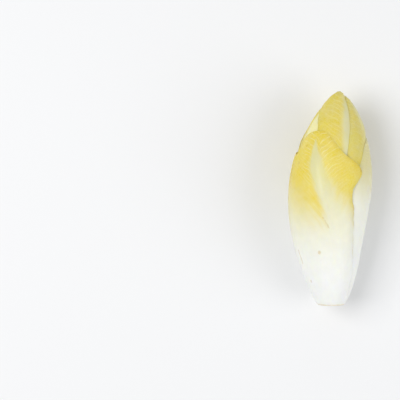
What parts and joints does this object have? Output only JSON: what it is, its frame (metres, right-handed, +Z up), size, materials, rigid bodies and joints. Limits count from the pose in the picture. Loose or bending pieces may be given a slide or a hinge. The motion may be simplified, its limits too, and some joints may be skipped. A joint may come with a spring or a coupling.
{
  "type": "belgian endive",
  "caption": "Whole head of belgian endive lying on its side: a slender pointed bud of closely wrapped pale leaves on a short cut stem, resting on a small flat.",
  "frame": {"origin": "middle of the small flat on the underside that the head rests on", "axes": "+Y along the head, from the cut stem to the tip of the leaves; +Z up, away from the surface it lies on; +X to its right side as seen from above with the tip pointing away"},
  "size_m": [0.0551, 0.1394, 0.0547],
  "materials": {
    "outer_leaves": "satin",
    "middle_leaves": "satin",
    "inner_leaves": "satin",
    "stem": "matte"
  },
  "bodies": {
    "root": {"stem_core": "stem", "heart_bud": "inner_leaves", "outer_leaf_under": "outer_leaves", "outer_leaf_front": "outer_leaves", "outer_leaf_right": "outer_leaves", "outer_leaf_left": "outer_leaves", "middle_leaf_right": "middle_leaves", "middle_leaf_under_left": "middle_leaves", "middle_leaf_front": "middle_leaves", "middle_leaf_left": "middle_leaves", "middle_leaf_under_right": "middle_leaves", "inner_leaf_1": "inner_leaves", "inner_leaf_2": "inner_leaves", "inner_leaf_3": "inner_leaves", "inner_leaf_4": "inner_leaves", "inner_leaf_5": "inner_leaves", "inner_leaf_6": "inner_leaves", "inner_leaf_7": "inner_leaves"}
  },
  "joints": []
}
